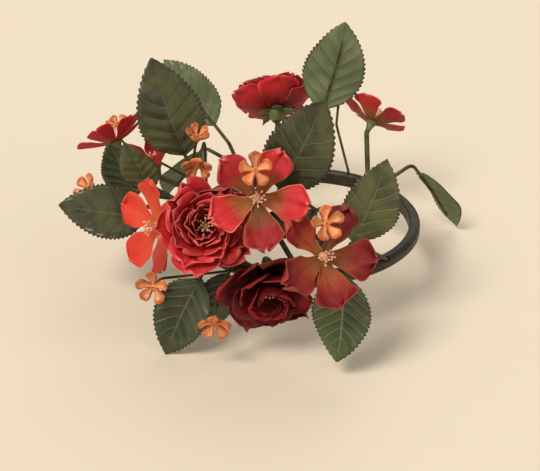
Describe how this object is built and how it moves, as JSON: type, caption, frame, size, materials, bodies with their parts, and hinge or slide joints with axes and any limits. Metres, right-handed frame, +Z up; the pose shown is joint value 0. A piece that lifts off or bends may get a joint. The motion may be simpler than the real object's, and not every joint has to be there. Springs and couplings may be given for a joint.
{
  "type": "candle ring",
  "caption": "Slim round hoop that drops round a pillar candle, with a spray of cloth roses, florets, small blossoms and serrated leaves on short wire stems.",
  "frame": {"origin": "on the axis of the candle bore, at the hoop's underside", "axes": "+Z up along the candle; -Y is the front that faces the viewer, +X to the viewer's right"},
  "size_m": [0.1533, 0.1561, 0.1002],
  "materials": {
    "hoop": "satin",
    "stem": "satin",
    "sepal": "matte",
    "stamen": "matte",
    "leaf": "satin",
    "blossom": "satin",
    "red_petal": "matte",
    "dark_petal": "matte",
    "coral_petal": "matte",
    "orange_petal": "matte"
  },
  "bodies": {
    "ring": {"base_hoop": "hoop", "blossom_1": "blossom", "blossom_2": "blossom", "blossom_3": "blossom", "blossom_4": "blossom", "blossom_5": "blossom", "blossom_6": "blossom", "blossom_7": "blossom", "blossom_8": "blossom", "blossom_9": "blossom", "floret_1_stem": "stem", "floret_2_stem": "stem", "floret_3_stem": "stem", "floret_4_stem": "stem", "floret_5_stem": "stem", "floret_6_stem": "stem", "leaf_1": "leaf", "leaf_10": "leaf", "leaf_11": "leaf", "leaf_12": "leaf", "leaf_13": "leaf", "leaf_14": "leaf", "leaf_2": "leaf", "leaf_3": "leaf", "leaf_4": "leaf", "leaf_5": "leaf", "leaf_6": "leaf", "leaf_7": "leaf", "leaf_8": "leaf", "leaf_9": "leaf", "rose_1_stem": "stem", "rose_2_stem": "stem", "rose_3_stem": "stem"},
    "rose_1_head": {"rose_1_centre": "stamen", "rose_1_cup": "sepal", "rose_1_inner_petals": "red_petal", "rose_1_middle_petals": "red_petal", "rose_1_outer_petals": "red_petal"},
    "rose_2_head": {"rose_2_centre": "stamen", "rose_2_cup": "sepal", "rose_2_inner_petals": "dark_petal", "rose_2_middle_petals": "dark_petal", "rose_2_outer_petals": "dark_petal"},
    "rose_3_head": {"rose_3_centre": "stamen", "rose_3_cup": "sepal", "rose_3_inner_petals": "red_petal", "rose_3_middle_petals": "red_petal", "rose_3_outer_petals": "red_petal"},
    "floret_1_head": {"floret_1_centre": "stamen", "floret_1_petals": "coral_petal"},
    "floret_2_head": {"floret_2_centre": "stamen", "floret_2_petals": "coral_petal"},
    "floret_3_head": {"floret_3_centre": "stamen", "floret_3_petals": "orange_petal"},
    "floret_4_head": {"floret_4_centre": "stamen", "floret_4_petals": "red_petal"},
    "floret_5_head": {"floret_5_centre": "stamen", "floret_5_petals": "red_petal"},
    "floret_6_head": {"floret_6_centre": "stamen", "floret_6_petals": "coral_petal"}
  },
  "joints": [
    {"name": "rose_1_turn", "type": "hinge", "parent": "ring", "child": "rose_1_head", "pos_m": [-0.03491, -0.04468, 0.02394], "axis": [0.0598, -0.8551, 0.515], "continuous": true},
    {"name": "rose_2_turn", "type": "hinge", "parent": "ring", "child": "rose_2_head", "pos_m": [-0.01337, -0.0499, 0.01134], "axis": [0.144, -0.9092, -0.3907], "continuous": true},
    {"name": "rose_3_turn", "type": "hinge", "parent": "ring", "child": "rose_3_head", "pos_m": [-0.01089, 0.0535, 0.02016], "axis": [-0.1266, 0.7991, 0.5878], "continuous": true},
    {"name": "floret_1_turn", "type": "hinge", "parent": "ring", "child": "floret_1_head", "pos_m": [0.00648, -0.06731, 0.0252], "axis": [0.3338, -0.8261, 0.454], "range_deg": [-6, 6]},
    {"name": "floret_2_turn", "type": "hinge", "parent": "ring", "child": "floret_2_head", "pos_m": [-0.01633, -0.05342, 0.04032], "axis": [0.1066, -0.8681, 0.4848], "range_deg": [-6, 6]},
    {"name": "floret_3_turn", "type": "hinge", "parent": "ring", "child": "floret_3_head", "pos_m": [-0.05165, -0.03227, 0.01806], "axis": [-0.7913, -0.5749, 0.2079], "continuous": true},
    {"name": "floret_4_turn", "type": "hinge", "parent": "ring", "child": "floret_4_head", "pos_m": [-0.05688, 0.01793, 0.0168], "axis": [-0.3216, -0.0509, 0.9455], "continuous": true},
    {"name": "floret_5_turn", "type": "hinge", "parent": "ring", "child": "floret_5_head", "pos_m": [-0.07103, 0.01062, 0.03066], "axis": [-0.4545, 0.5417, 0.7071], "continuous": true},
    {"name": "floret_6_turn", "type": "hinge", "parent": "ring", "child": "floret_6_head", "pos_m": [0.02665, 0.04909, 0.02226], "axis": [0.4059, 0.6755, 0.6157], "continuous": true}
  ]
}
